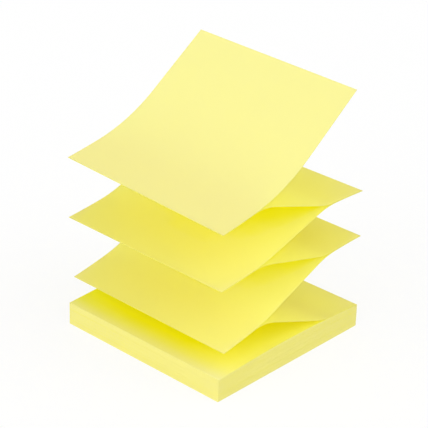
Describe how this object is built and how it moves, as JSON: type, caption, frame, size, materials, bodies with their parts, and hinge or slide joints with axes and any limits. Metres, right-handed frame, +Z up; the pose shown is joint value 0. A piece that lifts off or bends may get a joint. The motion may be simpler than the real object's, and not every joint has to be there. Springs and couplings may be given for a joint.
{
  "type": "sticky note pad",
  "caption": "Pad of square sticky notes joined along alternate edges like a fan fold, with its top notes drawn up into a loose zigzag above a low flat block.",
  "frame": {"origin": "centre of the block's flat underside, on the surface that the pad rests on", "axes": "+Z up, Y along the stuck edges of the notes, +X towards the edge where the lowest drawn note is stuck to the block and the top note's free edge rises, -Y the near side that shows the zigzag"},
  "size_m": [0.076, 0.076, 0.0998],
  "materials": {
    "note_paper": "matt uncoated pale yellow paper",
    "stacked_paper": "matt pale yellow paper, cut edges of a stack at its sides"
  },
  "bodies": {
    "root": {"pad_block": "stacked_paper", "note_6": "note_paper", "note_5": "note_paper", "note_4": "note_paper", "note_3": "note_paper", "note_2": "note_paper", "note_1": "note_paper"}
  },
  "joints": []
}
